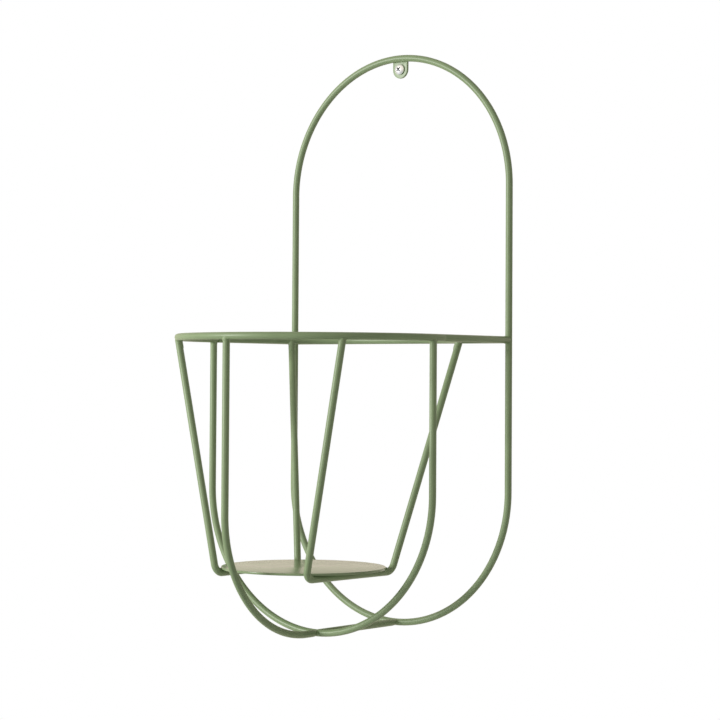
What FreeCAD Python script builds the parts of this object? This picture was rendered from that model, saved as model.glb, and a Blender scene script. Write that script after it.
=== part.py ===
import FreeCAD, Part
import os
import Sketcher
from FreeCAD import Placement, Rotation, Vector

# A wall planter of welded round rod. The origin is where the screw's axis meets the wall:
# +X is to the right, +Y goes into the wall, +Z is up. Sizes are millimetres.

doc = FreeCAD.newDocument("wall_planter")

# ---------------------------------------------------------------------------
# Driving dimensions
# ---------------------------------------------------------------------------

DIMENSIONS = [
    ("rod_diameter", 6.0),          # every rod of the planter
    ("cope_land", 1.5),             # a coped rod stops this far short of the other rod's axis
    ("frame_width", 238.0),         # wall frame, between rod axes
    ("frame_height", 503.0),        # wall frame, between rod axes
    ("ring_diameter", 240.0),       # front of the pot ring, between rod axes
    ("ring_corner_radius", 75.0),   # where the ring turns into its flat back, at the rod axis
    ("ring_reach", 112.0),          # wall frame to ring centre, along the wall's normal
    ("ring_below_top", 253.0),      # top rod axis of the wall frame down to the ring
    ("arm_setback", 22.0),          # an arm starts this far behind the ring centre
    ("front_bend_radius", 105.0),   # lower bend of the front loop, at the rod axis
    ("disc_diameter", 139.0),
    ("disc_thickness", 2.0),
    ("disc_edge_break", 0.4),       # the sheet's cut edge is broken this much on both faces
    ("disc_below_ring", 192.5),     # ring axis down to the top of the disc
    ("disc_forward", 19.0),         # disc centre in front of the ring centre
    ("bar_spacing", 100.0),         # between the middles of the two bars that carry the disc
    ("bar_straight", 97.0),         # straight length of such a bar
    ("wire_toe", 1.5),              # degrees by which each basket wire opens towards the wall
    ("wire_bend_radius", 8.0),      # bend between bar and leg, at the rod axis
    ("leg_spread", 181.5),          # between the basket wires at ring level, above the bars' middles
    ("tab_width", 16.0),
    ("tab_thickness", 2.0),
    ("tab_hole", 5.5),
    ("tab_lap", 1.2),               # the tab stops this far above the rod's inner edge
    ("screw_below_rod", 9.7),       # top rod axis down to the screw axis
    ("screw_head_diameter", 9.4),
    ("screw_head_height", 3.2),
    ("screw_head_rim", 1.3),        # straight side of the pan head
    ("screw_neck", 5.2),            # the shank's thicker stretch in the tab
    ("screw_shank", 4.8),
    ("screw_length", 40.0),         # under the head
    ("screw_tip", 6.0),
    ("recess_width", 1.3),
    ("recess_span", 4.8),
    ("recess_depth", 1.9),
    ("weld_radius", 4.1),           # beads where two rods meet
    ("tack_radius", 1.5),           # beads between the disc's rim and the bars
    ("tab_weld_radius", 1.7),
    ("weld_wall_gap", 0.5),         # beads beside the crossbar stay this clear of the wall
]

# Places of the basket wires, worked out in the sheet. Each wire is flat, leans out from its bar
# to the ring and is turned about the vertical by the toe angle. The line through the tops of its
# two legs passes (top_line_x, top_line_y) from the ring's centre and crosses the round of the
# ring at top_line_front and top_line_rear, counted along the line from that point.
WORKED_OUT = [
    ("bar_drop", "=disc_below_ring + disc_thickness + rod_diameter / 2"),
    ("leg_out", "=(leg_spread - bar_spacing) / 2"),
    ("leg_lean", "=atan(leg_out / bar_drop)"),
    ("leg_rise", "=(bar_drop - cope_land) / cos(leg_lean)"),
    ("top_line_x", "=bar_spacing / 2 + leg_out * cos(wire_toe)"),
    ("top_line_y", "=-disc_forward - leg_out * sin(wire_toe)"),
    ("top_line_nearest", "=-top_line_x * sin(wire_toe) - top_line_y * cos(wire_toe)"),
    ("top_line_off", "=top_line_x * cos(wire_toe) - top_line_y * sin(wire_toe)"),
    ("top_line_half", "=sqrt((ring_diameter / 2)^2 - top_line_off^2)"),
    ("top_line_front", "=top_line_nearest - top_line_half"),
    ("top_line_rear", "=top_line_nearest + top_line_half"),
    # Where a bar passes under the disc's rim, counted along the bar from its middle.
    ("rim_nearest", "=-bar_spacing / 2 * sin(wire_toe)"),
    ("rim_half", "=sqrt((disc_diameter / 2)^2 - (bar_spacing / 2 * cos(wire_toe))^2)"),
    ("rim_front", "=rim_nearest - rim_half - tack_radius / 4"),
    ("rim_rear", "=rim_nearest + rim_half + tack_radius / 4"),
]

dims = doc.addObject("Spreadsheet::Sheet", "dims")
for row, (alias, value) in enumerate(DIMENSIONS + WORKED_OUT, start=1):
    dims.set("A%d" % row, alias)
    dims.set("B%d" % row, str(value))
    dims.setAlias("B%d" % row, alias)
doc.recompute()

# Places that follow from the driving dimensions.
ROD_RADIUS = "dims.rod_diameter / 2"
FRAME_Y = "(-dims.rod_diameter / 2)"
FRAME_HALF = "(dims.frame_width / 2)"
FRAME_TOP = "dims.screw_below_rod"
FRAME_BOTTOM = "(dims.screw_below_rod - dims.frame_height)"
RING_Y = "(-dims.rod_diameter / 2 - dims.ring_reach)"
RING_Z = "(dims.screw_below_rod - dims.ring_below_top)"
RING_RADIUS = "(dims.ring_diameter / 2)"
RING_BACK = "(dims.ring_reach - dims.rod_diameter)"
LOOP_DROP = "(dims.frame_height - dims.ring_below_top)"
BAR_HALF_SPACING = "(dims.bar_spacing / 2)"


# ---------------------------------------------------------------------------
# Helpers
# ---------------------------------------------------------------------------

def bind(thing, **expressions):
    """Binds properties such as Placement__Base__x to sheet expressions."""
    for name, expression in expressions.items():
        thing.setExpression(name.replace("__", "."), expression)


def new_body(label, x="0", y="0", z="0"):
    body = doc.addObject("PartDesign::Body", label)
    body.Label = label
    bind(body, Placement__Base__x=x, Placement__Base__y=y, Placement__Base__z=z)
    return body


def new_sketch(body, name, plane_role, x="0", y="0", z="0"):
    """A sketch on one of the body's own origin planes, shifted within and along that plane."""
    sketch = body.newObject("Sketcher::SketchObject", name)
    plane = next(f for f in body.Origin.OriginFeatures if f.Role == plane_role)
    sketch.AttachmentSupport = [(plane, "")]
    sketch.MapMode = "FlatFace"
    bind(
        sketch,
        AttachmentOffset__Base__x=x,
        AttachmentOffset__Base__y=y,
        AttachmentOffset__Base__z=z,
    )
    return sketch


def constrain(sketch, expression, kind, *references):
    """A dimension whose value follows a sheet expression."""
    value = float(sketch.evalExpression(expression))
    index = sketch.addConstraint(Sketcher.Constraint(kind, *references, value))
    name = "size_%d" % index
    sketch.renameConstraint(index, name)
    sketch.setExpression("Constraints." + name, expression)


def add_line(sketch, start, end):
    return sketch.addGeometry(Part.LineSegment(Vector(*start, 0), Vector(*end, 0)), False)


def add_arc(sketch, centre, radius, start, end):
    """An arc from angle start to angle end, in radians, turning left."""
    circle = Part.Circle(Vector(*centre, 0), Vector(0, 0, 1), radius)
    return sketch.addGeometry(Part.ArcOfCircle(circle, start, end), False)


def constrain_plain(sketch, kind, *references):
    sketch.addConstraint(Sketcher.Constraint(kind, *references))


def circle_profile(body, name, plane_role, diameter, **offset):
    """A circle on the sketch origin, so that its place is the attachment's offset."""
    sketch = new_sketch(body, name, plane_role, **offset)
    sketch.addGeometry(Part.Circle(Vector(0, 0, 0), Vector(0, 0, 1), 1.0), False)
    constrain_plain(sketch, "Coincident", 0, MID, ORIGIN, START)
    constrain(sketch, diameter, "Diameter", 0)
    return sketch


def pipe(body, profile, path):
    sweep = body.newObject("PartDesign::AdditivePipe", body.Label + "_pipe")
    sweep.Profile = profile
    sweep.Spine = (path, [])
    return sweep


def rod_along(body, plane_role, length, symmetric=False, **offset):
    """A straight rod: the rod's circle padded along the plane's normal."""
    profile = circle_profile(body, body.Label + "_profile", plane_role, "dims.rod_diameter", **offset)
    pad = body.newObject("PartDesign::Pad", body.Label + "_pad")
    pad.Profile = profile
    if symmetric:
        pad.SideType = "Symmetric"
    bind(pad, Length=length)
    return pad


def coped(label, rod, *others):
    """The rod with its ends cut to sit on the rods that it meets, one cut for each of them."""
    for number, other in enumerate(others, start=1):
        name = label if number == len(others) else "%s_cut_%d" % (label, number)
        cut = doc.addObject("Part::Cut", name)
        cut.Label = name
        cut.Base = rod
        cut.Tool = other
        rod = cut
    return rod


# Sketcher's names for the points of an edge, and for the sketch's own origin and axes.
START, END, MID = 1, 2, 3
ORIGIN, H_AXIS, V_AXIS = -1, -1, -2

PI = 3.141592653589793

nodes = []

# ---------------------------------------------------------------------------
# Wall frame: a closed oval loop of rod that lies against the wall
# ---------------------------------------------------------------------------

wall_frame = new_body("wall_frame", y=FRAME_Y, z="(%s + %s) / 2" % (FRAME_TOP, FRAME_BOTTOM))
path = new_sketch(wall_frame, "wall_frame_path", "XZ_Plane")
right = add_line(path, (119, -130), (119, 130))
top = add_arc(path, (0, 130), 119, 0, PI)
left = add_line(path, (-119, 130), (-119, -130))
bottom = add_arc(path, (0, -130), 119, PI, 2 * PI)
constrain_plain(path, "Tangent", right, END, top, START)
constrain_plain(path, "Tangent", top, END, left, START)
constrain_plain(path, "Tangent", left, END, bottom, START)
constrain_plain(path, "Tangent", bottom, END, right, START)
constrain_plain(path, "Vertical", right)
constrain_plain(path, "PointOnObject", top, MID, V_AXIS)
constrain_plain(path, "PointOnObject", bottom, MID, V_AXIS)
constrain(path, "dims.frame_width / 2", "Radius", top)
constrain(path, "(dims.frame_height - dims.frame_width) / 2", "DistanceY", ORIGIN, START, top, MID)
constrain(path, "(dims.frame_height - dims.frame_width) / 2", "DistanceY", bottom, MID, ORIGIN, START)
profile = circle_profile(wall_frame, "wall_frame_profile", "XY_Plane", "dims.rod_diameter", x=FRAME_HALF)
pipe(wall_frame, profile, path)
nodes.append(wall_frame)

# ---------------------------------------------------------------------------
# Pot ring: round, with a flat back that lies on the crossbar
# ---------------------------------------------------------------------------

pot_ring = new_body("pot_ring", y=RING_Y, z=RING_Z)
path = new_sketch(pot_ring, "pot_ring_path", "XY_Plane")
front = add_arc(path, (0, 0), 120, 0.75 * PI, 2.25 * PI)
rear_right = add_arc(path, (33, 31), 75, 0.25 * PI, 0.5 * PI)
back = add_line(path, (33, 106), (-33, 106))
rear_left = add_arc(path, (-33, 31), 75, 0.5 * PI, 0.75 * PI)
constrain_plain(path, "Tangent", front, END, rear_right, START)
constrain_plain(path, "Tangent", rear_right, END, back, START)
constrain_plain(path, "Tangent", back, END, rear_left, START)
constrain_plain(path, "Tangent", rear_left, END, front, START)
constrain_plain(path, "Coincident", front, MID, ORIGIN, START)
constrain_plain(path, "Horizontal", back)
constrain(path, RING_RADIUS, "Radius", front)
constrain(path, "dims.ring_corner_radius", "Radius", rear_right)
constrain(path, "dims.ring_corner_radius", "Radius", rear_left)
constrain(path, RING_BACK, "DistanceY", ORIGIN, START, back, START)
profile = circle_profile(pot_ring, "pot_ring_profile", "XZ_Plane", "dims.rod_diameter", x=RING_RADIUS)
pipe(pot_ring, profile, path)
nodes.append(pot_ring)

# ---------------------------------------------------------------------------
# Side arms: straight rods from the sides of the ring to the wall frame's uprights
# ---------------------------------------------------------------------------

arms = []
for side, sign in (("left", "-1"), ("right", "1")):
    rod = new_body("arm_%s_rod" % side, x="%s * %s" % (sign, FRAME_HALF), y=FRAME_Y, z=RING_Z)
    length = "dims.ring_reach - dims.arm_setback - dims.cope_land"
    rod_along(rod, "XZ_Plane", length, z="dims.cope_land")
    arms.append(coped("arm_" + side, rod, wall_frame, pot_ring))
nodes += arms

# ---------------------------------------------------------------------------
# Crossbar: between the uprights, behind the ring and level with it
# ---------------------------------------------------------------------------

rod = new_body("crossbar_rod", y=FRAME_Y, z=RING_Z)
rod_along(rod, "YZ_Plane", "dims.frame_width - 2 * dims.cope_land", symmetric=True)
crossbar = coped("crossbar", rod, wall_frame, *arms)
nodes.append(crossbar)

# ---------------------------------------------------------------------------
# Side loop: a U under the sides of the ring, parallel to the wall
# ---------------------------------------------------------------------------

rod = new_body("side_loop_rod", y=RING_Y, z=RING_Z)
path = new_sketch(rod, "side_loop_path", "XZ_Plane")
right = add_line(path, (120, -2), (120, -130))
round_end = add_arc(path, (0, -130), 120, PI, 2 * PI)
left = add_line(path, (-120, -130), (-120, -2))
constrain_plain(path, "Tangent", right, END, round_end, END)
constrain_plain(path, "Tangent", left, START, round_end, START)
constrain_plain(path, "Vertical", right)
constrain_plain(path, "Vertical", left)
constrain_plain(path, "PointOnObject", round_end, MID, V_AXIS)
constrain(path, RING_RADIUS, "Radius", round_end)
constrain(path, "%s - %s" % (LOOP_DROP, RING_RADIUS), "DistanceY", round_end, MID, ORIGIN, START)
constrain(path, "dims.cope_land", "DistanceY", right, START, ORIGIN, START)
constrain(path, "dims.cope_land", "DistanceY", left, END, ORIGIN, START)
profile = circle_profile(
    rod, "side_loop_profile", "XY_Plane", "dims.rod_diameter", x=RING_RADIUS, z="-dims.cope_land"
)
pipe(rod, profile, path)
side_loop = coped("side_loop", rod, pot_ring)
nodes.append(side_loop)

# ---------------------------------------------------------------------------
# Front loop: down from the front of the ring and back to the lowest point of the side loop
# ---------------------------------------------------------------------------

rod = new_body("front_loop_rod", y=RING_Y, z=RING_Z)
path = new_sketch(rod, "front_loop_path", "YZ_Plane")
leg = add_line(path, (-120, -2), (-120, -150))
bend = add_arc(path, (-22, -150), 98, PI, 1.5 * PI)
foot = add_line(path, (-22, -248), (-2, -248))
constrain_plain(path, "Tangent", leg, END, bend, START)
constrain_plain(path, "Tangent", bend, END, foot, START)
constrain_plain(path, "Vertical", leg)
constrain_plain(path, "Horizontal", foot)
constrain(path, "dims.front_bend_radius", "Radius", bend)
constrain(path, RING_RADIUS, "DistanceX", leg, START, ORIGIN, START)
constrain(path, "dims.cope_land", "DistanceY", leg, START, ORIGIN, START)
constrain(path, LOOP_DROP, "DistanceY", foot, END, ORIGIN, START)
constrain(path, "dims.cope_land", "DistanceX", foot, END, ORIGIN, START)
profile = circle_profile(
    rod,
    "front_loop_profile",
    "XY_Plane",
    "dims.rod_diameter",
    y="-" + RING_RADIUS,
    z="-dims.cope_land",
)
pipe(rod, profile, path)
front_loop = coped("front_loop", rod, pot_ring, side_loop)
nodes.append(front_loop)

# ---------------------------------------------------------------------------
# Rear tie: level rod from the crossing to the lowest point of the wall frame
# ---------------------------------------------------------------------------

rod = new_body("rear_tie_rod", y=FRAME_Y, z=FRAME_BOTTOM)
rod_along(rod, "XZ_Plane", "dims.ring_reach - 2 * dims.cope_land", z="dims.cope_land")
rear_tie = coped("rear_tie", rod, wall_frame, side_loop)
nodes.append(rear_tie)

# ---------------------------------------------------------------------------
# Basket wires: two leaning U shapes, each a bar under the disc and two legs up to the ring
# ---------------------------------------------------------------------------

DISC_Y = "(%s - dims.disc_forward)" % RING_Y
WIRE_PLACEMENT = "placement(vector(%s; %s; %s); rotation(%s; %s; 0))"
baskets = []
for side, sign, other_sign in (("left", "-1", "1"), ("right", "1", "-1")):
    rod = new_body("basket_wire_%s_rod" % side)
    place = WIRE_PLACEMENT % (
        "%s * %s" % (sign, BAR_HALF_SPACING),
        DISC_Y,
        "%s - dims.bar_drop" % RING_Z,
        "%s * dims.wire_toe" % other_sign,
        "%s * dims.leg_lean" % sign,
    )
    bind(rod, Placement=place)
    path = new_sketch(rod, "basket_wire_%s_path" % side, "YZ_Plane")
    front_leg = add_line(path, (-60, 195), (-56, 10))
    bar = add_line(path, (-47, 0), (47, 0))
    rear_leg = add_line(path, (57, 8), (87, 195))
    front_bend = add_arc(path, (-47, 10), 10, PI, 1.5 * PI)
    rear_bend = add_arc(path, (47, 10), 10, 1.5 * PI, 2 * PI)
    constrain_plain(path, "Tangent", front_leg, END, front_bend, START)
    constrain_plain(path, "Tangent", front_bend, END, bar, START)
    constrain_plain(path, "Tangent", bar, END, rear_bend, START)
    constrain_plain(path, "Tangent", rear_bend, END, rear_leg, START)
    constrain_plain(path, "PointOnObject", bar, START, H_AXIS)
    constrain_plain(path, "Horizontal", bar)
    constrain(path, "dims.bar_straight / 2", "DistanceX", bar, START, ORIGIN, START)
    constrain(path, "dims.bar_straight / 2", "DistanceX", ORIGIN, START, bar, END)
    constrain(path, "dims.wire_bend_radius", "Radius", front_bend)
    constrain(path, "dims.wire_bend_radius", "Radius", rear_bend)
    constrain(path, "-dims.top_line_front", "DistanceX", front_leg, START, ORIGIN, START)
    constrain(path, "dims.leg_rise", "DistanceY", ORIGIN, START, front_leg, START)
    constrain(path, "dims.top_line_rear", "DistanceX", ORIGIN, START, rear_leg, END)
    constrain(path, "dims.leg_rise", "DistanceY", ORIGIN, START, rear_leg, END)
    profile = circle_profile(rod, "basket_wire_%s_profile" % side, "XZ_Plane", "dims.rod_diameter")
    pipe(rod, profile, path)
    baskets.append(coped("basket_wire_" + side, rod, pot_ring))
nodes += baskets

# ---------------------------------------------------------------------------
# Base disc: flat sheet that lies on the two bars
# ---------------------------------------------------------------------------

base_disc = new_body("base_disc", y=DISC_Y, z="%s - dims.disc_below_ring - dims.disc_thickness" % RING_Z)
profile = circle_profile(base_disc, "base_disc_outline", "XY_Plane", "dims.disc_diameter")
sheet = base_disc.newObject("PartDesign::Pad", "base_disc_sheet")
sheet.Profile = profile
bind(sheet, Length="dims.disc_thickness")
doc.recompute()
rim = base_disc.newObject("PartDesign::Chamfer", "base_disc_rim")
circles = ["Edge%d" % n for n, e in enumerate(sheet.Shape.Edges, start=1) if len(e.Vertexes) == 1]
rim.Base = (sheet, circles)
bind(rim, Size="dims.disc_edge_break")
nodes.append(base_disc)

# ---------------------------------------------------------------------------
# Hanging tab: flush with the wall, round around the screw hole, coped under the top rod
# ---------------------------------------------------------------------------

blank = new_body("hanging_tab_blank")
outline = new_sketch(blank, "hanging_tab_outline", "XZ_Plane")
right = add_line(outline, (8, 0), (8, 7))
top = add_line(outline, (8, 7), (-8, 7))
left = add_line(outline, (-8, 7), (-8, 0))
round_end = add_arc(outline, (0, 0), 8, PI, 2 * PI)
hole = outline.addGeometry(Part.Circle(Vector(0, 0, 0), Vector(0, 0, 1), 2), False)
constrain_plain(outline, "Tangent", right, START, round_end, END)
constrain_plain(outline, "Tangent", left, END, round_end, START)
constrain_plain(outline, "Coincident", right, END, top, START)
constrain_plain(outline, "Coincident", top, END, left, START)
constrain_plain(outline, "Vertical", right)
constrain_plain(outline, "Vertical", left)
constrain_plain(outline, "Horizontal", top)
constrain_plain(outline, "Coincident", round_end, MID, ORIGIN, START)
constrain_plain(outline, "Coincident", hole, MID, ORIGIN, START)
constrain(outline, "dims.tab_width / 2", "Radius", round_end)
constrain(outline, "dims.tab_hole", "Diameter", hole)
constrain(
    outline,
    "dims.screw_below_rod - %s + dims.tab_lap" % ROD_RADIUS,
    "DistanceY",
    ORIGIN,
    START,
    top,
    START,
)
plate = blank.newObject("PartDesign::Pad", "hanging_tab_plate")
plate.Profile = outline
bind(plate, Length="dims.tab_thickness")
hanging_tab = coped("hanging_tab", blank, wall_frame)
nodes.append(hanging_tab)

# ---------------------------------------------------------------------------
# Wall screw: pan head on the tab, cross recess, plain shank with a point
# ---------------------------------------------------------------------------

wall_screw = new_body("wall_screw", y="-dims.tab_thickness")
outline = new_sketch(wall_screw, "wall_screw_outline", "XY_Plane")
axis = add_line(outline, (0, 40), (0, -3))
dome = add_arc(outline, (0, 3), 6, 1.5 * PI, 1.8 * PI)
rim_side = add_line(outline, (4.7, -1.3), (4.7, 0))
seat = add_line(outline, (4.7, 0), (2.5, 0))
neck = add_line(outline, (2.5, 0), (2.5, 2))
step = add_line(outline, (2.5, 2), (2.4, 2))
shank = add_line(outline, (2.4, 2), (2.4, 34))
point = add_line(outline, (2.4, 34), (0, 40))
turned_edges = [rim_side, seat, neck, step, shank, point, axis]
for first, second in zip(turned_edges, turned_edges[1:]):
    constrain_plain(outline, "Coincident", first, END, second, START)
constrain_plain(outline, "Coincident", axis, END, dome, START)
constrain_plain(outline, "Coincident", dome, END, rim_side, START)
constrain_plain(outline, "PointOnObject", axis, START, V_AXIS)
constrain_plain(outline, "PointOnObject", axis, END, V_AXIS)
constrain_plain(outline, "PointOnObject", dome, MID, V_AXIS)
constrain_plain(outline, "PointOnObject", seat, START, H_AXIS)
constrain_plain(outline, "PointOnObject", seat, END, H_AXIS)
constrain_plain(outline, "Vertical", rim_side)
constrain_plain(outline, "Vertical", neck)
constrain_plain(outline, "Horizontal", step)
constrain_plain(outline, "Vertical", shank)
constrain(outline, "dims.screw_head_height", "DistanceY", axis, END, ORIGIN, START)
constrain(outline, "dims.screw_head_rim", "DistanceY", rim_side, START, ORIGIN, START)
constrain(outline, "dims.screw_head_diameter / 2", "DistanceX", ORIGIN, START, rim_side, START)
constrain(outline, "dims.screw_neck / 2", "DistanceX", ORIGIN, START, neck, START)
constrain(outline, "dims.tab_thickness", "DistanceY", ORIGIN, START, neck, END)
constrain(outline, "dims.screw_shank / 2", "DistanceX", ORIGIN, START, shank, START)
constrain(outline, "dims.screw_length", "DistanceY", ORIGIN, START, axis, START)
constrain(outline, "dims.screw_length - dims.screw_tip", "DistanceY", ORIGIN, START, shank, END)
turned = wall_screw.newObject("PartDesign::Revolution", "wall_screw_turned")
turned.Profile = outline
turned.ReferenceAxis = (outline, ["V_Axis"])
turned.Angle = 360
for name, width, height in (
    ("recess_upright", "dims.recess_width", "dims.recess_span"),
    ("recess_level", "dims.recess_span", "dims.recess_width"),
):
    slot = new_sketch(wall_screw, name + "_outline", "XZ_Plane", z="dims.screw_head_height")
    sides = [
        add_line(slot, (-1, -1), (1, -1)),
        add_line(slot, (1, -1), (1, 1)),
        add_line(slot, (1, 1), (-1, 1)),
        add_line(slot, (-1, 1), (-1, -1)),
    ]
    for number in range(4):
        constrain_plain(slot, "Coincident", sides[number], END, sides[(number + 1) % 4], START)
    constrain_plain(slot, "Horizontal", sides[0])
    constrain_plain(slot, "Horizontal", sides[2])
    constrain_plain(slot, "Vertical", sides[1])
    constrain_plain(slot, "Symmetric", sides[0], START, sides[1], END, ORIGIN, START)
    constrain(slot, width, "DistanceX", sides[0], START, sides[0], END)
    constrain(slot, height, "DistanceY", sides[1], START, sides[1], END)
    recess = wall_screw.newObject("PartDesign::Pocket", name)
    recess.Profile = slot
    bind(recess, Length="dims.recess_depth")
nodes.append(wall_screw)

# ---------------------------------------------------------------------------
# Weld beads: a ball at each joint with the rods cut out of it
# ---------------------------------------------------------------------------

def ball(name, radius, x, y, z, seam=0):
    """A sphere whose own seam faces seam degrees from +X, to keep it clear of the cuts."""
    bead = doc.addObject("Part::Sphere", name)
    bead.Placement = Placement(Vector(0, 0, 0), Rotation(Vector(0, 0, 1), seam))
    bind(bead, Radius=radius, Placement__Base__x=x, Placement__Base__y=y, Placement__Base__z=z)
    return bead


def welds(label, beads, rods):
    fused = doc.addObject("Part::MultiFuse", label + "_metal")
    fused.Shapes = beads
    return coped(label, fused, *rods)


UNDER_RING = "%s - %s" % (RING_Z, ROD_RADIUS)
UNDER_DISC = "%s - dims.disc_below_ring - dims.disc_thickness" % RING_Z
UNDER_TOP = "%s * tan(dims.leg_lean)" % ROD_RADIUS
LEG_X = "%s * (dims.top_line_x + dims.top_line_%s * sin(dims.wire_toe) - %s)"
LEG_Y = RING_Y + " + dims.top_line_y + dims.top_line_%s * cos(dims.wire_toe)"
ring_beads = [
    ball("bead_front_leg", "dims.weld_radius", "0", "%s - %s" % (RING_Y, RING_RADIUS), UNDER_RING)
]
frame_beads = []
base_beads = []
for side, sign, inward in (("left", "-1", 0), ("right", "1", 180)):
    ring_beads += [
        ball(
            "bead_side_leg_" + side,
            "dims.weld_radius",
            "%s * %s" % (sign, RING_RADIUS),
            RING_Y,
            UNDER_RING,
            inward,
        ),
        ball(
            "bead_basket_front_" + side,
            "dims.weld_radius",
            LEG_X % (sign, "front", UNDER_TOP),
            LEG_Y % "front",
            UNDER_RING,
            inward,
        ),
        ball(
            "bead_basket_rear_" + side,
            "dims.weld_radius",
            LEG_X % (sign, "rear", UNDER_TOP),
            LEG_Y % "rear",
            UNDER_RING,
            inward,
        ),
    ]
    frame_beads += [
        ball(
            "bead_arm_" + side,
            "dims.weld_radius",
            "%s * %s" % (sign, FRAME_HALF),
            "%s - %s" % (FRAME_Y, ROD_RADIUS),
            RING_Z,
            inward,
        ),
        ball(
            "bead_crossbar_" + side,
            "dims.weld_radius",
            "%s * (%s - %s)" % (sign, FRAME_HALF, ROD_RADIUS),
            "-dims.weld_radius - dims.weld_wall_gap",
            RING_Z,
            inward,
        ),
    ]
    for end in ("front", "rear"):
        base_beads.append(
            ball(
                "bead_disc_%s_%s" % (end, side),
                "dims.tack_radius",
                "%s * (%s + dims.rim_%s * sin(dims.wire_toe))" % (sign, BAR_HALF_SPACING, end),
                "%s + dims.rim_%s * cos(dims.wire_toe)" % (DISC_Y, end),
                UNDER_DISC,
                inward,
            )
        )
for end, way in (("front", "-"), ("rear", "+")):
    base_beads.append(
        ball(
            "bead_crossing_" + end,
            "dims.weld_radius",
            "0",
            "%s %s %s" % (RING_Y, way, ROD_RADIUS),
            FRAME_BOTTOM,
        )
    )
frame_beads.append(
    ball("bead_rear_tie", "dims.weld_radius", "0", "%s - %s" % (FRAME_Y, ROD_RADIUS), FRAME_BOTTOM)
)
tab_bead = doc.addObject("Part::Cylinder", "bead_tab")
tab_bead.Placement = Placement(Vector(0, 0, 0), Rotation(Vector(0, 1, 0), 90))
bind(
    tab_bead,
    Radius="dims.tab_weld_radius",
    Height="dims.tab_width - 2 * dims.tab_weld_radius",
    Placement__Base__x="-dims.tab_width / 2 + dims.tab_weld_radius",
    Placement__Base__y="-dims.tab_thickness",
    Placement__Base__z="dims.screw_below_rod - %s" % ROD_RADIUS,
)
frame_beads.append(tab_bead)
nodes.append(welds("welds_ring", ring_beads, [pot_ring, side_loop, front_loop, *baskets]))
nodes.append(welds("welds_frame", frame_beads, [wall_frame, crossbar, rear_tie, hanging_tab, *arms]))
nodes.append(welds("welds_base", base_beads, [base_disc, side_loop, front_loop, rear_tie, *baskets]))

# ---------------------------------------------------------------------------
# Build, check and export
# ---------------------------------------------------------------------------

doc.recompute()
for item in doc.Objects:
    if "Invalid" in item.State or "Error" in item.State:
        raise RuntimeError("%s did not build: %s" % (item.Label, item.State))
os.makedirs("parts", exist_ok=True)
for node in nodes:
    if node.Shape.isNull() or not node.Shape.isValid():
        raise RuntimeError("%s has no valid shape" % node.Label)
    node.Shape.exportStep("parts/%s.step" % node.Label)
    print(node.Label, len(node.Shape.Solids), round(node.Shape.Volume, 1))
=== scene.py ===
import math
import bmesh
import bpy
from mathutils import Euler, Matrix, Vector


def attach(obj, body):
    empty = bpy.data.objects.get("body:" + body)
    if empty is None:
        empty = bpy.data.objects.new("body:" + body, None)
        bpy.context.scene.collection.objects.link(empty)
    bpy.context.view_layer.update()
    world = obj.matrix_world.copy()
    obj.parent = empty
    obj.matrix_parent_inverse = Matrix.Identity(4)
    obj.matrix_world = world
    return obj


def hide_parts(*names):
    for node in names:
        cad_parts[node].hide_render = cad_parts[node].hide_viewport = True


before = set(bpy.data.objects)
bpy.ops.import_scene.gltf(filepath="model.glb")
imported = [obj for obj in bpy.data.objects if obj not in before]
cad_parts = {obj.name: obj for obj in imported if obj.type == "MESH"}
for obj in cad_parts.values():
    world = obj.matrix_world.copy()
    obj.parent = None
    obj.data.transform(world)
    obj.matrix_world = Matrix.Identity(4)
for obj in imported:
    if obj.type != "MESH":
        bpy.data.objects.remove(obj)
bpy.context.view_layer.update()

# ---------------------------------------------------------------------------
# Wall frame: one closed oval of 6 mm steel rod that lies against the wall. It is bent from a
# straight length, butt welded and powder coated sage green with the rest of the planter.
# ---------------------------------------------------------------------------

MM = 0.001
ROD_RADIUS = 3 * MM
ROD_SIDES = 40
BEND_STEP = math.radians(1.5)
SEAM_GAP = 0.01 * MM
EDGE_BREAK = 0.3 * MM
SHARP_ANGLE = math.radians(35)
NOSE_LENGTH = 5 * MM
NOSE_PROFILE = ((0.25, 0.985), (0.5, 0.945), (0.75, 0.88), (1, 0.78))

WALL_ROD_Y = -3 * MM
FRAME_HALF_WIDTH = 119 * MM
FRAME_TOP_CENTRE = -109.3 * MM
FRAME_BOTTOM_CENTRE = -374.3 * MM
HALF_TURN = math.pi

SAGE = (0.300, 0.402, 0.210, 1)
SAGE_THIN = (0.268, 0.362, 0.186, 1)
COAT_SPECULAR = 0.42
DRIFT_SCALE = 34
PEEL_SCALE = 480
SPECKLE_SCALE = 2300
SPECKLE_TONE = 0.07
SPECKLE_HEIGHT = 0.02
GLOSS_DRIFT = 0.06
PEEL_STRENGTH = 0.5


def rod_end(bm, centre, along, radius=ROD_RADIUS):
    """The round end that a rod is drawn from. Returns its edges."""
    turned = Vector(along).to_track_quat("Z", "Y").to_matrix().to_4x4()
    ring = bmesh.ops.create_circle(
        bm, segments=ROD_SIDES, radius=radius, matrix=Matrix.Translation(centre) @ turned
    )
    return list({edge for vert in ring["verts"] for edge in vert.link_edges})


def run_straight(bm, end, travel):
    """Draws the rod's open end straight on and returns the new end."""
    drawn = bmesh.ops.extrude_edge_only(bm, edges=end)["geom"]
    verts = {part for part in drawn if isinstance(part, bmesh.types.BMVert)}
    bmesh.ops.translate(bm, verts=list(verts), vec=travel)
    edges = [part for part in drawn if isinstance(part, bmesh.types.BMEdge)]
    return [edge for edge in edges if set(edge.verts) <= verts]


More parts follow.
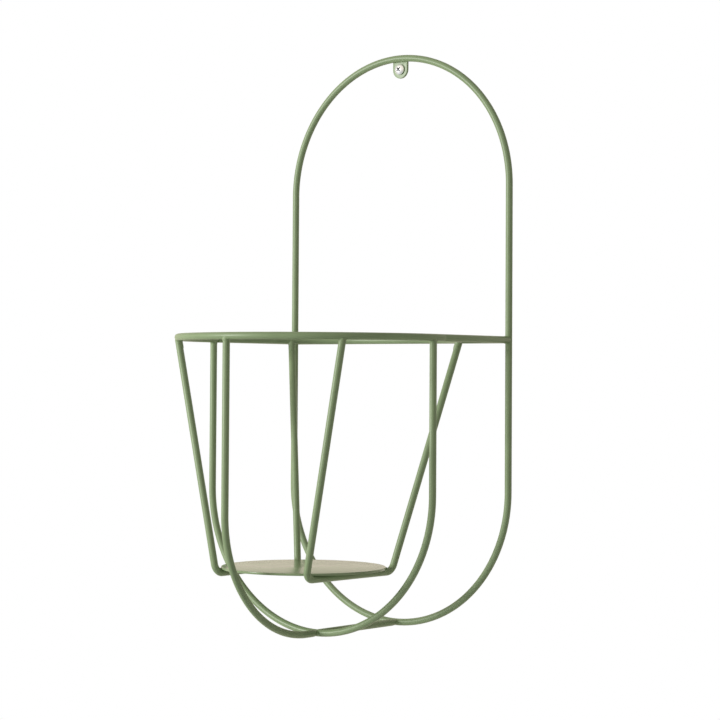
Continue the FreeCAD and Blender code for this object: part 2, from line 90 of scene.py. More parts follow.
def run_bend(bm, end, centre, axis, angle):
    """Bends the rod's open end about an axis, right-handed, and returns the new end."""
    verts = list({vert for edge in end for vert in edge.verts})
    bent = bmesh.ops.spin(
        bm,
        geom=verts + end,
        cent=centre,
        axis=axis,
        dvec=(0, 0, 0),
        angle=angle,
        steps=math.ceil(abs(angle) / BEND_STEP),
        use_merge=False,
        use_duplicate=False,
    )
    return [part for part in bent["geom_last"] if isinstance(part, bmesh.types.BMEdge)]


def break_edges(bm, edges, width, segments):
    """Rounds edges off by this width."""
    bmesh.ops.bevel(
        bm, geom=edges, offset=width, affect="EDGES", segments=segments, profile=0.5, material=-1
    )


def close_end(bm, end):
    """Fills the rod's cut end with a flat face and breaks its edge."""
    bmesh.ops.contextual_create(bm, geom=end)
    break_edges(bm, end, EDGE_BREAK, 2)


def round_nose(bm, end, travel):
    """Draws the rod's end on to a joint and dresses it down to a slimmer, rounded nose."""
    reached = 0
    for share, width in NOSE_PROFILE:
        end = run_straight(bm, end, Vector(travel) * (share - reached))
        verts = list({vert for edge in end for vert in edge.verts})
        middle = sum((vert.co for vert in verts), Vector()) / len(verts)
        for vert in verts:
            offset = vert.co - middle
            vert.co = middle + offset * (width * ROD_RADIUS / offset.length)
        reached = share
    close_end(bm, end)


def mesh_object(bm, name, finish):
    """Puts the mesh in the scene under this name, with its finish."""
    mesh = bpy.data.meshes.new(name)
    bm.to_mesh(mesh)
    bm.free()
    mesh.materials.append(finish)
    made = bpy.data.objects.new(name, mesh)
    bpy.context.scene.collection.objects.link(made)
    return made


def make_piece(bm, name, finish, slot, *nodes):
    """Turns the mesh into a piece that rides on the planter and stands for its CAD nodes."""
    bmesh.ops.remove_doubles(bm, verts=bm.verts, dist=SEAM_GAP)
    bmesh.ops.dissolve_degenerate(bm, edges=bm.edges, dist=SEAM_GAP / 2)
    bmesh.ops.recalc_face_normals(bm, faces=bm.faces)
    made = mesh_object(bm, name, finish)
    made.data.shade_smooth()
    made.data.set_sharp_from_angle(angle=SHARP_ANGLE)
    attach(made, "root")
    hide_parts(*nodes)
    return made


def noise(nodes, links, place, scale, detail):
    """A cloud pattern in the piece's own space. Returns its values."""
    cloud = nodes.new("ShaderNodeTexNoise")
    cloud.inputs["Scale"].default_value = scale
    cloud.inputs["Detail"].default_value = detail
    links.new(place.outputs["Object"], cloud.inputs["Vector"])
    return cloud.outputs["Fac"]


def spread(nodes, links, values, low, high, start=0, stop=1):
    """Maps values that run from start to stop on to low to high."""
    mapped = nodes.new("ShaderNodeMapRange")
    mapped.inputs["From Min"].default_value = start
    mapped.inputs["From Max"].default_value = stop
    mapped.inputs["To Min"].default_value = low
    mapped.inputs["To Max"].default_value = high
    links.new(values, mapped.inputs["Value"])
    return mapped.outputs["Result"]


def blend(nodes, links, factor, first, second):
    """Mixes two colours, each a fixed colour or a node's output."""
    mix = nodes.new("ShaderNodeMix")
    mix.data_type = "RGBA"
    links.new(factor, mix.inputs["Factor"])
    for name, colour in (("A", first), ("B", second)):
        if isinstance(colour, tuple):
            mix.inputs[name].default_value = colour
        else:
            links.new(colour, mix.inputs[name])
    return mix.outputs["Result"]


def powder_coat_group():
    """Coating grain: slow tone drift, orange peel and fine speckle, in object space."""
    group = bpy.data.node_groups.new("powder_coat_grain", "ShaderNodeTree")
    for name, kind in (
        ("Full Coat", "NodeSocketColor"),
        ("Thin Coat", "NodeSocketColor"),
        ("Gloss", "NodeSocketFloat"),
    ):
        group.interface.new_socket(name=name, in_out="INPUT", socket_type=kind)
    for name, kind in (
        ("Colour", "NodeSocketColor"),
        ("Roughness", "NodeSocketFloat"),
        ("Height", "NodeSocketFloat"),
    ):
        group.interface.new_socket(name=name, in_out="OUTPUT", socket_type=kind)
    nodes = group.nodes
    links = group.links
    inputs = nodes.new("NodeGroupInput")
    outputs = nodes.new("NodeGroupOutput")
    place = nodes.new("ShaderNodeTexCoord")

    drift = noise(nodes, links, place, DRIFT_SCALE, 4)
    peel = noise(nodes, links, place, PEEL_SCALE, 1.5)
    speckle = noise(nodes, links, place, SPECKLE_SCALE, 2)

    patches = spread(nodes, links, drift, 0, 1, 0.35, 0.65)
    thin = inputs.outputs["Thin Coat"]
    full = inputs.outputs["Full Coat"]
    dusted = nodes.new("ShaderNodeHueSaturation")
    grain = spread(nodes, links, speckle, 1 - SPECKLE_TONE, 1 + SPECKLE_TONE)
    links.new(grain, dusted.inputs["Value"])
    links.new(blend(nodes, links, patches, thin, full), dusted.inputs["Color"])
    links.new(dusted.outputs["Color"], outputs.inputs["Colour"])

    satin = nodes.new("ShaderNodeMath")
    satin.operation = "ADD"
    links.new(inputs.outputs["Gloss"], satin.inputs[0])
    links.new(spread(nodes, links, drift, -GLOSS_DRIFT, GLOSS_DRIFT), satin.inputs[1])
    links.new(satin.outputs["Value"], outputs.inputs["Roughness"])

    height = nodes.new("ShaderNodeMath")
    height.operation = "MULTIPLY_ADD"
    height.inputs[1].default_value = SPECKLE_HEIGHT
    links.new(speckle, height.inputs[0])
    links.new(peel, height.inputs[2])
    links.new(height.outputs["Value"], outputs.inputs["Height"])
    return group


coat_grain = powder_coat_group()


def powder_coat(name, full, thin, roughness, peel_depth):
    """Sage powder coat on steel, with the shared grain at this piece's own gloss and depth."""
    coat = bpy.data.materials.new(name)
    coat.use_nodes = True
    nodes = coat.node_tree.nodes
    links = coat.node_tree.links
    paint = nodes["Principled BSDF"]
    paint.inputs["Specular IOR Level"].default_value = COAT_SPECULAR
    grain = nodes.new("ShaderNodeGroup")
    grain.node_tree = coat_grain
    grain.inputs["Full Coat"].default_value = full
    grain.inputs["Thin Coat"].default_value = thin
    grain.inputs["Gloss"].default_value = roughness
    peel = nodes.new("ShaderNodeBump")
    peel.inputs["Distance"].default_value = peel_depth
    peel.inputs["Strength"].default_value = PEEL_STRENGTH
    links.new(grain.outputs["Height"], peel.inputs["Height"])
    links.new(grain.outputs["Colour"], paint.inputs["Base Color"])
    links.new(grain.outputs["Roughness"], paint.inputs["Roughness"])
    links.new(peel.outputs["Normal"], paint.inputs["Normal"])
    return coat


rod_coat = powder_coat("sage_coat_on_rod", SAGE, SAGE_THIN, 0.4, 0.01 * MM)

bm = bmesh.new()
end = rod_end(bm, (FRAME_HALF_WIDTH, WALL_ROD_Y, FRAME_BOTTOM_CENTRE), (0, 0, 1))
end = run_straight(bm, end, (0, 0, FRAME_TOP_CENTRE - FRAME_BOTTOM_CENTRE))
end = run_bend(bm, end, (0, WALL_ROD_Y, FRAME_TOP_CENTRE), (0, -1, 0), HALF_TURN)
end = run_straight(bm, end, (0, 0, FRAME_BOTTOM_CENTRE - FRAME_TOP_CENTRE))
run_bend(bm, end, (0, WALL_ROD_Y, FRAME_BOTTOM_CENTRE), (0, -1, 0), HALF_TURN)
make_piece(bm, "wall_frame_rod", rod_coat, "sage_paint", "wall_frame")

# ---------------------------------------------------------------------------
# Pot ring: one closed rod that carries the pot's rim. It is round in front and turns with two
# tighter corners into a short straight back, which is welded along the crossbar.
# ---------------------------------------------------------------------------

RING_CENTRE_Y = -115 * MM
RING_Z = -243.3 * MM
RING_RADIUS = 120 * MM
RING_CORNER_RADIUS = 75 * MM
RING_BACK_Y = -9 * MM

corner_y = RING_BACK_Y - RING_CORNER_RADIUS
corner_x = math.sqrt((RING_RADIUS - RING_CORNER_RADIUS) ** 2 - (corner_y - RING_CENTRE_Y) ** 2)
corner_start = math.atan2(corner_y - RING_CENTRE_Y, corner_x)
corner_turn = HALF_TURN / 2 - corner_start
front_turn = HALF_TURN + 2 * corner_start
bm = bmesh.new()
end = rod_end(bm, (-corner_x, RING_BACK_Y, RING_Z), (-1, 0, 0))
end = run_bend(bm, end, (-corner_x, corner_y, RING_Z), (0, 0, 1), corner_turn)
end = run_bend(bm, end, (0, RING_CENTRE_Y, RING_Z), (0, 0, 1), front_turn)
end = run_bend(bm, end, (corner_x, corner_y, RING_Z), (0, 0, 1), corner_turn)
run_straight(bm, end, (-2 * corner_x, 0, 0))
make_piece(bm, "pot_ring_rod", rod_coat, "sage_paint", "pot_ring")

# ---------------------------------------------------------------------------
# Side arms and crossbar: straight rods in the ring's plane. The arms run from the sides of the
# ring back to the uprights, and the crossbar joins the uprights behind the ring.
# ---------------------------------------------------------------------------

ARM_FRONT_Y = -111.5 * MM
COPE = 1.5 * MM

for side, way in (("left", -1), ("right", 1)):
    bm = bmesh.new()
    start = rod_end(bm, (way * FRAME_HALF_WIDTH, ARM_FRONT_Y, RING_Z), (0, 1, 0))
    end = run_straight(bm, start, (0, WALL_ROD_Y - COPE - ARM_FRONT_Y, 0))
    close_end(bm, start)
    close_end(bm, end)
    make_piece(bm, "arm_%s_rod" % side, rod_coat, "sage_paint", "arm_" + side)

bm = bmesh.new()
crossbar_half = FRAME_HALF_WIDTH - COPE
start = rod_end(bm, (-crossbar_half, WALL_ROD_Y, RING_Z), (1, 0, 0))
end = run_straight(bm, start, (2 * crossbar_half, 0, 0))
close_end(bm, start)
close_end(bm, end)
make_piece(bm, "crossbar_rod", rod_coat, "sage_paint", "crossbar")

# ---------------------------------------------------------------------------
# Side loop: a U of rod that hangs from the sides of the ring, parallel to the wall. Its ends
# are coped and welded to the underside of the ring.
# ---------------------------------------------------------------------------

LOOP_ROUND_Z = -373.3 * MM
LOW_Z = -493.3 * MM

bm = bmesh.new()
leg_top = RING_Z - COPE
start = rod_end(bm, (RING_RADIUS, RING_CENTRE_Y, leg_top), (0, 0, -1))
end = run_straight(bm, start, (0, 0, LOOP_ROUND_Z - leg_top))
end = run_bend(bm, end, (0, RING_CENTRE_Y, LOOP_ROUND_Z), (0, 1, 0), HALF_TURN)
end = run_straight(bm, end, (0, 0, leg_top - LOOP_ROUND_Z))
close_end(bm, start)
close_end(bm, end)
make_piece(bm, "side_loop_rod", rod_coat, "sage_paint", "side_loop")

# ---------------------------------------------------------------------------
# Front loop and rear tie: the front loop drops from the front of the ring and turns back to the
# lowest point of the side loop. A level rod goes on from there to the foot of the wall frame.
# ---------------------------------------------------------------------------

FRONT_Y = -235 * MM
FRONT_BEND_RADIUS = 105 * MM
SUNK = 0.9 * MM

bm = bmesh.new()
bend_y = FRONT_Y + FRONT_BEND_RADIUS
bend_z = LOW_Z + FRONT_BEND_RADIUS
start = rod_end(bm, (0, FRONT_Y, leg_top), (0, 0, -1))
end = run_straight(bm, start, (0, 0, bend_z - leg_top))
end = run_bend(bm, end, (0, bend_y, bend_z), (1, 0, 0), HALF_TURN / 2)
end = run_straight(bm, end, (0, RING_CENTRE_Y - 2 * COPE + SUNK - NOSE_LENGTH - bend_y, 0))
close_end(bm, start)
round_nose(bm, end, (0, NOSE_LENGTH, 0))
make_piece(bm, "front_loop_rod", rod_coat, "sage_paint", "front_loop")

bm = bmesh.new()
tie_end = WALL_ROD_Y - 2 * COPE + SUNK
start = rod_end(bm, (0, RING_CENTRE_Y + COPE, LOW_Z), (0, 1, 0))
end = run_straight(bm, start, (0, tie_end - NOSE_LENGTH - RING_CENTRE_Y - COPE, 0))
close_end(bm, start)
round_nose(bm, end, (0, NOSE_LENGTH, 0))
make_piece(bm, "rear_tie_rod", rod_coat, "sage_paint", "rear_tie")

# ---------------------------------------------------------------------------
# Basket wires: two U shapes of rod. Each has a level bar under the disc and two legs that lean
# out to the ring, and both open slightly towards the wall. They are bent, then welded.
# ---------------------------------------------------------------------------

BAR_Z = -440.8 * MM
BAR_HALF_SPACING = 50 * MM
BAR_HALF = 48.5 * MM
WIRE_BEND_RADIUS = 8 * MM
DISC_CENTRE_Y = -134 * MM
WIRE_LEAN = math.radians(11.658)
WIRE_TOE = math.radians(1.5)
LEG_RISE = 200.13 * MM
LEG_FRONT = -60.27 * MM
LEG_REAR = 95.64 * MM


def leg_direction(reach):
    """How far a leg that ends at this reach stands up from the bar, as the bend turns into it."""
    out = abs(reach) - BAR_HALF
    up = LEG_RISE - WIRE_BEND_RADIUS
    return math.atan2(up, out) + math.asin(WIRE_BEND_RADIUS / math.hypot(out, up))


def run_leg(bm, end, reach):
    """Bends the bar's end up and runs the leg on to the ring."""
    way = math.copysign(1, reach)
    angle = leg_direction(reach)
    end = run_bend(bm, end, (0, way * BAR_HALF, WIRE_BEND_RADIUS), (way, 0, 0), angle)
    foot_y = BAR_HALF + WIRE_BEND_RADIUS * math.sin(angle)
    foot_z = WIRE_BEND_RADIUS * (1 - math.cos(angle))
    return run_straight(bm, end, (0, reach - way * foot_y, LEG_RISE - foot_z))


wire_places = {}
for side, way in (("left", -1), ("right", 1)):
    turn = Euler((0, way * WIRE_LEAN, -way * WIRE_TOE), "XYZ").to_matrix().to_4x4()
    place = Matrix.Translation((way * BAR_HALF_SPACING, DISC_CENTRE_Y, BAR_Z)) @ turn
    wire_places[side] = place
    bm = bmesh.new()
    middle = rod_end(bm, (0, -BAR_HALF, 0), (0, 1, 0))
    end = run_straight(bm, middle, (0, 2 * BAR_HALF, 0))
    tops = [run_leg(bm, middle, LEG_FRONT), run_leg(bm, end, LEG_REAR)]
    for top in tops:
        close_end(bm, top)
    bmesh.ops.transform(bm, matrix=place, verts=bm.verts)
    make_piece(bm, "basket_wire_%s_rod" % side, rod_coat, "sage_paint", "basket_wire_" + side)

# ---------------------------------------------------------------------------
# Base disc: round 2 mm sheet that lies on the two bars and carries the pot. It is laser cut,
# its edges are broken and it is coated with the rods, a little glossier on the flat.
# ---------------------------------------------------------------------------

DISC_RADIUS = 69.5 * MM
DISC_TOP = -435.8 * MM
DISC_THICKNESS = 2 * MM
DISC_EDGE_BREAK = 0.45 * MM


def draw_up(bm, travel):
    """Draws the flat faces up to a plate and returns the corners that moved."""
    lifted = bmesh.ops.extrude_face_region(bm, geom=bm.faces[:])["geom"]
    lifted = [part for part in lifted if isinstance(part, bmesh.types.BMVert)]
    bmesh.ops.translate(bm, verts=lifted, vec=travel)
    return lifted


disc_coat = powder_coat("sage_coat_on_sheet", SAGE, SAGE_THIN, 0.2, 0.012 * MM)
bm = bmesh.new()
bmesh.ops.create_circle(
    bm,
    cap_ends=True,
    segments=180,
    radius=DISC_RADIUS,
    matrix=Matrix.Translation((0, DISC_CENTRE_Y, DISC_TOP - DISC_THICKNESS)),
)
draw_up(bm, (0, 0, DISC_THICKNESS))
rims = [edge for edge in bm.edges if abs(edge.verts[0].co.z - edge.verts[1].co.z) < SEAM_GAP]
break_edges(bm, rims, DISC_EDGE_BREAK, 4)
make_piece(bm, "base_disc_sheet", disc_coat, "sage_paint", "base_disc")

# ---------------------------------------------------------------------------
# Hanging tab: 2 mm sheet, round about the screw hole, with its straight top welded under the
# top rod of the wall frame. Cut with the disc and coated with the rods.
# ---------------------------------------------------------------------------

TAB_HALF = 8 * MM
TAB_TOP = 7.9 * MM
TAB_THICKNESS = 2 * MM
TAB_HOLE_RADIUS = 2.75 * MM
TAB_STEPS = 48

bm = bmesh.new()
upright = Matrix.Rotation(math.radians(90), 4, "X")
bmesh.ops.spin(
    bm,
    geom=bmesh.ops.create_vert(bm, co=(TAB_HALF, 0, 0))["vert"],
    cent=(0, 0, 0),
    axis=(0, 1, 0),
    dvec=(0, 0, 0),
    angle=HALF_TURN,
    steps=TAB_STEPS,
    use_merge=False,
    use_duplicate=False,
)
shoulders = [vert for vert in bm.verts if len(vert.link_edges) == 1]
raised = bmesh.ops.extrude_vert_indiv(bm, verts=shoulders)["verts"]
bmesh.ops.translate(bm, verts=raised, vec=(0, 0, TAB_TOP))
sides = [edge for vert in raised for edge in vert.link_edges]
top = bmesh.ops.contextual_create(bm, geom=raised)["edges"]
bmesh.ops.subdivide_edges(bm, edges=sides, cuts=TAB_STEPS // 4 - 1)
bmesh.ops.subdivide_edges(bm, edges=top, cuts=TAB_STEPS // 2 - 1)
outline = bm.edges[:]
hole = bmesh.ops.create_circle(
    bm, segments=2 * TAB_STEPS, radius=TAB_HOLE_RADIUS, matrix=upright
)["verts"]
hole = list({edge for vert in hole for edge in vert.link_edges})
bmesh.ops.bridge_loops(bm, edges=outline + hole)
bmesh.ops.recalc_face_normals(bm, faces=bm.faces)
draw_up(bm, (0, -TAB_THICKNESS, 0))
bmesh.ops.recalc_face_normals(bm, faces=bm.faces)
corners = [edge for edge in bm.edges if edge.is_manifold and edge.calc_face_angle() > 1]
break_edges(bm, corners, EDGE_BREAK, 3)
tab_coat = powder_coat("sage_coat_on_tab", SAGE, SAGE_THIN, 0.36, 0.01 * MM)
make_piece(bm, "hanging_tab_sheet", tab_coat, "sage_paint", "hanging_tab")

# ---------------------------------------------------------------------------
# Wall screw: pan head with a cross recess, bright zinc plate. It clamps the tab to the wall and
# carries the planter. The head is cold formed and the shank runs into the wall to a point.
# ---------------------------------------------------------------------------

HEAD_RADIUS = 4.7 * MM
HEAD_SEAT = -TAB_THICKNESS
HEAD_RIM = 1.3 * MM
HEAD_HEIGHT = 3.2 * MM
HEAD_BREAK = 0.25 * MM
DOME_STEPS = 14
TURNED_SIDES = 72
NECK_RADIUS = 2.6 * MM
SHANK_RADIUS = 2.4 * MM
SHANK_END = 32 * MM
SHANK_POINT = 38 * MM
RECESS_DEPTH = 2.2 * MM
RECESS_SPAN = 6.0 * MM
RECESS_WIDTH = 1.6 * MM
RECESS_TAPER = 0.6
RECESS_TURN = math.radians(47)


def bright_zinc(name, dull, bright):
    """Zinc plate: turned scratches about the screw's axis and a slight cloudiness."""
    plate = bpy.data.materials.new(name)
    plate.use_nodes = True
    nodes = plate.node_tree.nodes
    links = plate.node_tree.links
    metal = nodes["Principled BSDF"]
    metal.inputs["Metallic"].default_value = 1
    place = nodes.new("ShaderNodeTexCoord")
    cloud = noise(nodes, links, place, 420, 4)
    links.new(blend(nodes, links, cloud, dull, bright), metal.inputs["Base Color"])
    links.new(spread(nodes, links, cloud, 0.42, 0.56), metal.inputs["Roughness"])
    turned = nodes.new("ShaderNodeTexWave")
    turned.wave_type = "RINGS"
    turned.rings_direction = "Y"
    turned.inputs["Scale"].default_value = 900
    turned.inputs["Distortion"].default_value = 3
    links.new(place.outputs["Object"], turned.inputs["Vector"])
    scratches = nodes.new("ShaderNodeBump")
    scratches.inputs["Strength"].default_value = 0.15
    scratches.inputs["Distance"].default_value = 0.01 * MM
    links.new(turned.outputs["Fac"], scratches.inputs["Height"])
    links.new(scratches.outputs["Normal"], metal.inputs["Normal"])
    return plate


def apply_cut(body, cutter):
    """Cuts one mesh out of another and leaves the result in the first."""
    cut = body.modifiers.new("recess", "BOOLEAN")
    cut.operation = "DIFFERENCE"
    cut.solver = "EXACT"
    cut.material_mode = "TRANSFER"
    cut.object = cutter
    bpy.context.view_layer.update()
    seen = body.evaluated_get(bpy.context.evaluated_depsgraph_get())
    mesh = bpy.data.meshes.new_from_object(seen)
    body.modifiers.remove(cut)
    body.data = mesh
    bpy.data.objects.remove(cutter)


zinc = bright_zinc("bright_zinc_plate", (0.84, 0.87, 0.92, 1), (0.92, 0.95, 1.0, 1))
# The recess walls get a dark copy of the zinc: painted shade for the shadow deep in the cross
# recess, not a colour of the plating.
recess_painted_shade = bright_zinc("zinc_recess_painted_shade", (0.10, 0.10, 0.12, 1), (0.20, 0.20, 0.24, 1))
bm = bmesh.new()
crown = HEAD_HEIGHT - HEAD_RIM
dome_radius = (HEAD_RADIUS**2 + crown**2) / (2 * crown)
tip = bmesh.ops.create_vert(bm, co=(0, HEAD_SEAT - HEAD_HEIGHT, 0))["vert"]
domed = bmesh.ops.spin(
    bm,
    geom=tip,
    cent=(0, HEAD_SEAT - HEAD_HEIGHT + dome_radius, 0),
    axis=(0, 0, 1),
    dvec=(0, 0, 0),
    angle=math.asin(HEAD_RADIUS / dome_radius),
    steps=DOME_STEPS,
    use_merge=False,
    use_duplicate=False,
)
profile_end = [part for part in domed["geom_last"] if isinstance(part, bmesh.types.BMVert)]
for step in (
    (0, HEAD_RIM - HEAD_BREAK, 0),
    (-HEAD_BREAK, HEAD_BREAK, 0),
    (NECK_RADIUS - HEAD_RADIUS + HEAD_BREAK, 0, 0),
    (0, TAB_THICKNESS, 0),
    (SHANK_RADIUS - NECK_RADIUS, 0, 0),
    (0, SHANK_END, 0),
    (-SHANK_RADIUS, SHANK_POINT - SHANK_END, 0),
):
    profile_end = bmesh.ops.extrude_vert_indiv(bm, verts=profile_end)["verts"]
    bmesh.ops.translate(bm, verts=profile_end, vec=step)
bmesh.ops.spin(
    bm,
    geom=bm.verts[:] + bm.edges[:],
    cent=(0, 0, 0),
    axis=(0, 1, 0),
    dvec=(0, 0, 0),
    angle=2 * math.pi,
    steps=TURNED_SIDES,
    use_merge=True,
    use_duplicate=False,
)
screw = make_piece(bm, "wall_screw_plated", zinc, "screw_steel", "wall_screw")

bm = bmesh.new()
bmesh.ops.create_grid(bm, x_segments=3, y_segments=3, size=RECESS_SPAN / 2)
for vert in bm.verts:
    for way in (0, 1):
        if abs(vert.co[way]) < RECESS_SPAN / 4:
            vert.co[way] = math.copysign(RECESS_WIDTH / 2, vert.co[way])
middles = {face: face.calc_center_median() for face in bm.faces}
spare = [face for face, at in middles.items() if min(abs(at.x), abs(at.y)) > RECESS_WIDTH / 2]
bmesh.ops.delete(bm, geom=spare, context="FACES")
sunk = draw_up(bm, (0, 0, -2 * RECESS_DEPTH))
bmesh.ops.scale(bm, verts=sunk, vec=(RECESS_TAPER, RECESS_TAPER, 1))
bmesh.ops.translate(bm, verts=bm.verts, vec=(0, 0, RECESS_DEPTH))
facing = Matrix.Rotation(RECESS_TURN, 4, "Y") @ upright
bmesh.ops.transform(bm, verts=bm.verts, matrix=facing)
bmesh.ops.translate(bm, verts=bm.verts, vec=(0, HEAD_SEAT - HEAD_HEIGHT, 0))
bmesh.ops.recalc_face_normals(bm, faces=bm.faces)
# The punch carries the painted-shade zinc, and the cut passes it on to the recess walls.
apply_cut(screw, mesh_object(bm, "cross_punch", recess_painted_shade))

# ---------------------------------------------------------------------------
# Weld fillets: small fillets of weld metal at each joint, under the same coat, which flows over
# them. Each starts as a bead with short stubs of the rods that it joins, blended into one skin.
# ---------------------------------------------------------------------------

STUB_RADIUS = 2.98 * MM
STUB_TIP_RADIUS = 2.75 * MM
STUB_FLAT = 3.6 * MM
STUB_TAPER = 2.6 * MM
STUB_REACH = STUB_FLAT + ROD_RADIUS + 1 * MM
BEAD_RADIUS = 3.3 * MM
NECK_BEAD_RADIUS = 2.6 * MM
CORNER_BEAD_IN = 2.4 * MM
CORNER_BEAD_OUT = 2.6 * MM
TACK_RADIUS = 1.5 * MM
SKIN_GRAIN = 0.34 * MM

weld_coat = powder_coat("sage_coat_on_weld", SAGE, SAGE_THIN, 0.42, 0.03 * MM)


def stub(bm, joint, along, flat=STUB_FLAT, both=True):
    """A short sleeve on a rod at the joint, with ends that dip under the rod's surface."""
    along = Vector(along).normalized()
    turned = along.to_track_quat("Z", "Y").to_matrix().to_4x4()
    middle = Vector(joint) if both else Vector(joint) + along * flat / 2
    length = 2 * flat if both else flat
    bmesh.ops.create_cone(
        bm,
        cap_ends=True,
        segments=32,
        radius1=STUB_RADIUS,
        radius2=STUB_RADIUS,
        depth=length,
        matrix=Matrix.Translation(middle) @ turned,
    )
    for way in (1, -1) if both else (1,):
        tip_middle = middle + along * way * (length + STUB_TAPER) / 2
        outward = (along * way).to_track_quat("Z", "Y").to_matrix().to_4x4()
        bmesh.ops.create_cone(
            bm,
            cap_ends=True,
            segments=32,
            radius1=STUB_RADIUS,
            radius2=STUB_TIP_RADIUS,
            depth=STUB_TAPER,
            matrix=Matrix.Translation(tip_middle) @ outward,
        )


def bead(bm, centre, radius=BEAD_RADIUS, stretch=(1, 1, 1)):
    """A round bead of weld metal, stretched along the axes."""
    shape = Matrix.Translation(centre) @ Matrix.Diagonal((*stretch, 1))
    bmesh.ops.create_icosphere(bm, subdivisions=3, radius=radius, matrix=shape)


def make_fillets(bm, name, *nodes):
    """Blends the overlapping shapes of the joints into one skin with soft fillets."""
    made = make_piece(bm, name, weld_coat, "sage_paint", *nodes)
    skin = made.modifiers.new("one_skin", "REMESH")
    skin.mode = "VOXEL"
    skin.voxel_size = SKIN_GRAIN
    skin.use_smooth_shade = True
    soft = made.modifiers.new("soft_fillets", "SMOOTH")
    soft.factor = 0.5
    soft.iterations = 7
    return made


bm = bmesh.new()
under_ring = RING_Z - ROD_RADIUS
ring_joints = [((0, FRONT_Y), (0, 0, -1))]
for side, way in (("left", -1), ("right", 1)):
    ring_joints.append(((way * RING_RADIUS, RING_CENTRE_Y), (0, 0, -1)))
    for reach in (LEG_FRONT, LEG_REAR):
        foot = wire_places[side] @ Vector((0, math.copysign(BAR_HALF, reach), 0))
        top = wire_places[side] @ Vector((0, reach, LEG_RISE))
        down = (foot - top).normalized()
        ring_joints.append(((top.x, top.y), down))
for (x, y), down in ring_joints:
    down = Vector(down)
    joint = Vector((x, y, RING_Z))
    round_ring = Vector((-(y - RING_CENTRE_Y), x, 0))
    stub(bm, joint, round_ring)
    stub(bm, joint, down, flat=STUB_REACH, both=False)
    bead(bm, joint + down * ROD_RADIUS, BEAD_RADIUS, (1, 1, 0.9))
make_fillets(bm, "ring_weld_fillets", "welds_ring")

bm = bmesh.new()
for way in (-1, 1):
    corner = Vector((way * FRAME_HALF_WIDTH, WALL_ROD_Y, RING_Z))
    stub(bm, corner, (0, 0, 1))
    stub(bm, corner, (0, -1, 0), flat=STUB_REACH, both=False)
    stub(bm, corner, (-way, 0, 0), flat=STUB_REACH, both=False)
    bead(bm, corner + Vector((-way * CORNER_BEAD_IN, -CORNER_BEAD_OUT, 0)), BEAD_RADIUS)
foot = Vector((0, WALL_ROD_Y, LOW_Z))
stub(bm, foot, (1, 0, 0))
bead(bm, foot + Vector((0, -ROD_RADIUS, 0)), NECK_BEAD_RADIUS, (1, 0.7, 1))
make_fillets(bm, "frame_weld_fillets", "welds_frame")

bm = bmesh.new()
crossing = Vector((0, RING_CENTRE_Y, LOW_Z))
stub(bm, crossing, (1, 0, 0), flat=STUB_FLAT + 1 * MM)
for way in (-1, 1):
    bead(bm, crossing + Vector((0, way * ROD_RADIUS, 0)), NECK_BEAD_RADIUS, (1, 0.7, 1))
rim_middle = -BAR_HALF_SPACING * math.sin(WIRE_TOE)
rim_half = math.sqrt(DISC_RADIUS**2 - (BAR_HALF_SPACING * math.cos(WIRE_TOE)) ** 2)
for side in ("left", "right"):
    for reach in (rim_middle - rim_half, rim_middle + rim_half):
        tack = wire_places[side] @ Vector((0, reach, 0))
        tack.z = DISC_TOP - DISC_THICKNESS
        bead(bm, tack, TACK_RADIUS, (1.6, 1, 0.9))
make_fillets(bm, "base_weld_fillets", "welds_base")

# ---------------------------------------------------------------------------
# Wall, floor and light: a white wall right behind the frame, a pale floor well below it, a
# large soft light from the camera's left and a weak even fill.
# ---------------------------------------------------------------------------

WALL_HALF_WIDTH = 3.0
WALL_TOP = 1.6
FLOOR_Z = -1.3
FLOOR_REACH = 4.0
WALL_PLANE_Y = 0.05 * MM
FILL_STRENGTH = 0.26
REFLECTED_CREAM = (0.98, 0.87, 0.72, 1)


def white_to_the_eye(nodes, links):
    """A switch that is on for what the eye and reflections see, and the white that they see."""
    rays = nodes.new("ShaderNodeLightPath")
    switch = rays.outputs["Is Camera Ray"]
    for kind in ("Is Glossy Ray", "Is Transmission Ray"):
        either = nodes.new("ShaderNodeMath")
        either.operation = "MAXIMUM"
        links.new(switch, either.inputs[0])
        links.new(rays.outputs[kind], either.inputs[1])
        switch = either.outputs["Value"]
    reflected = rays.outputs["Is Glossy Ray"]
    return switch, blend(nodes, links, reflected, (1, 1, 1, 1), REFLECTED_CREAM)


def pale_surface(name, colour):
    """White to the eye and in reflections, matt to light and shadow, and clear from behind."""
    paper = bpy.data.materials.new(name)
    paper.use_nodes = True
    nodes = paper.node_tree.nodes
    links = paper.node_tree.links
    output = nodes["Material Output"]
    matt = nodes["Principled BSDF"]
    matt.inputs["Base Color"].default_value = colour
    matt.inputs["Roughness"].default_value = 0.9
    switch, tint = white_to_the_eye(nodes, links)
    white = nodes.new("ShaderNodeEmission")
    links.new(tint, white.inputs["Color"])
    front = nodes.new("ShaderNodeMixShader")
    links.new(switch, front.inputs["Fac"])
    links.new(matt.outputs["BSDF"], front.inputs[1])
    links.new(white.outputs["Emission"], front.inputs[2])
    back = nodes.new("ShaderNodeBsdfTransparent")
    side = nodes.new("ShaderNodeNewGeometry")
    sides = nodes.new("ShaderNodeMixShader")
    links.new(side.outputs["Backfacing"], sides.inputs["Fac"])
    links.new(front.outputs["Shader"], sides.inputs[1])
    links.new(back.outputs["BSDF"], sides.inputs[2])
    links.new(sides.outputs["Shader"], output.inputs["Surface"])
    return paper


def stage_sheet(name, half_x, half_y, place, surface):
    """A flat sheet that stands about the planter and isn't part of it."""
    bm = bmesh.new()
    bmesh.ops.create_grid(bm, x_segments=1, y_segments=1, size=1)
    bmesh.ops.scale(bm, verts=bm.verts, vec=(half_x, half_y, 1))
    bmesh.ops.transform(bm, verts=bm.verts, matrix=place)
    mesh_object(bm, name, surface)


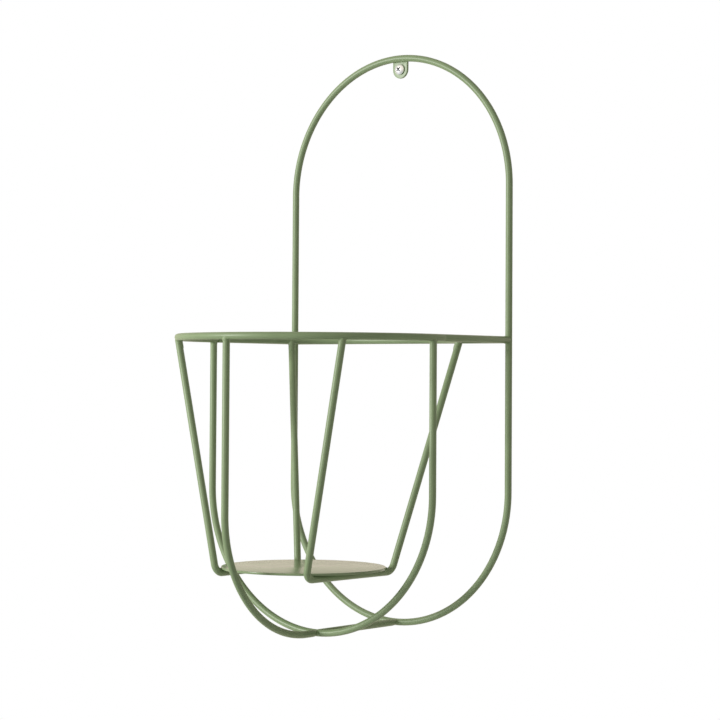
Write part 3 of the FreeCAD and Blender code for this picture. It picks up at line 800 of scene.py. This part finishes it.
wall_paint = pale_surface("white_wall", (0.35, 0.35, 0.34, 1))
wall_middle = Vector((0, WALL_PLANE_Y, (WALL_TOP + FLOOR_Z) / 2))
wall_place = Matrix.Translation(wall_middle) @ Matrix.Rotation(math.radians(90), 4, "X")
stage_sheet("wall", WALL_HALF_WIDTH, (WALL_TOP - FLOOR_Z) / 2, wall_place, wall_paint)

floor_paint = bpy.data.materials.new("pale_floor")
floor_paint.use_nodes = True
matt = floor_paint.node_tree.nodes["Principled BSDF"]
matt.inputs["Base Color"].default_value = (0.86, 0.86, 0.85, 1)
matt.inputs["Roughness"].default_value = 0.8
stage_sheet("floor", FLOOR_REACH, FLOOR_REACH, Matrix.Translation((0, 0, FLOOR_Z)), floor_paint)

world = bpy.data.worlds.new("studio")
world.use_nodes = True
bpy.context.scene.world = world
nodes = world.node_tree.nodes
links = world.node_tree.links
fill = nodes["Background"]
switch, tint = white_to_the_eye(nodes, links)
links.new(tint, fill.inputs["Color"])
links.new(spread(nodes, links, switch, FILL_STRENGTH, 1), fill.inputs["Strength"])


def softbox(name, place, aim, width, height, power):
    """An area light at a place, turned towards another."""
    light = bpy.data.lights.new(name, "AREA")
    light.shape = "RECTANGLE"
    light.size = width
    light.size_y = height
    light.energy = power
    lamp = bpy.data.objects.new(name, light)
    lamp.location = place
    lamp.rotation_euler = (Vector(aim) - Vector(place)).to_track_quat("-Z", "Y").to_euler()
    bpy.context.scene.collection.objects.link(lamp)


middle_of_planter = (0, -0.11, -0.25)
softbox("key_softbox", (-1.45, -2.25, 0.15), middle_of_planter, 0.5, 0.8, 46)

# ---------------------------------------------------------------------------
# Camera: nearly level with the ring, in front of the planter and to its right, with a long lens.
# Its place and lens are the ones that lay the rods over those of the photograph.
# ---------------------------------------------------------------------------

IMAGE_SIDE = 720
SENSOR_WIDTH = 36
FOCAL_PIXELS = 2191.35
PRINCIPAL_X = 359.50
PRINCIPAL_Y = 299.98
HEADING = math.radians(37.799)
PITCH = math.radians(2.048)
ROLL = math.radians(0.362)

camera_data = bpy.data.cameras.new("camera")
camera_data.sensor_width = SENSOR_WIDTH
camera_data.lens = FOCAL_PIXELS / IMAGE_SIDE * SENSOR_WIDTH
camera_data.shift_x = (IMAGE_SIDE / 2 - PRINCIPAL_X) / IMAGE_SIDE
camera_data.shift_y = (PRINCIPAL_Y - IMAGE_SIDE / 2) / IMAGE_SIDE
camera_data.clip_end = 50
camera = bpy.data.objects.new("camera", camera_data)
level_view = Matrix.Rotation(HEADING, 4, "Z") @ Matrix.Rotation(math.radians(90) + PITCH, 4, "X")
camera.matrix_world = (
    Matrix.Translation((1.1725, -1.5710, -0.2772)) @ level_view @ Matrix.Rotation(ROLL, 4, "Z")
)
bpy.context.scene.collection.objects.link(camera)
bpy.context.scene.camera = camera

bpy.context.scene.view_settings.view_transform = "Standard"
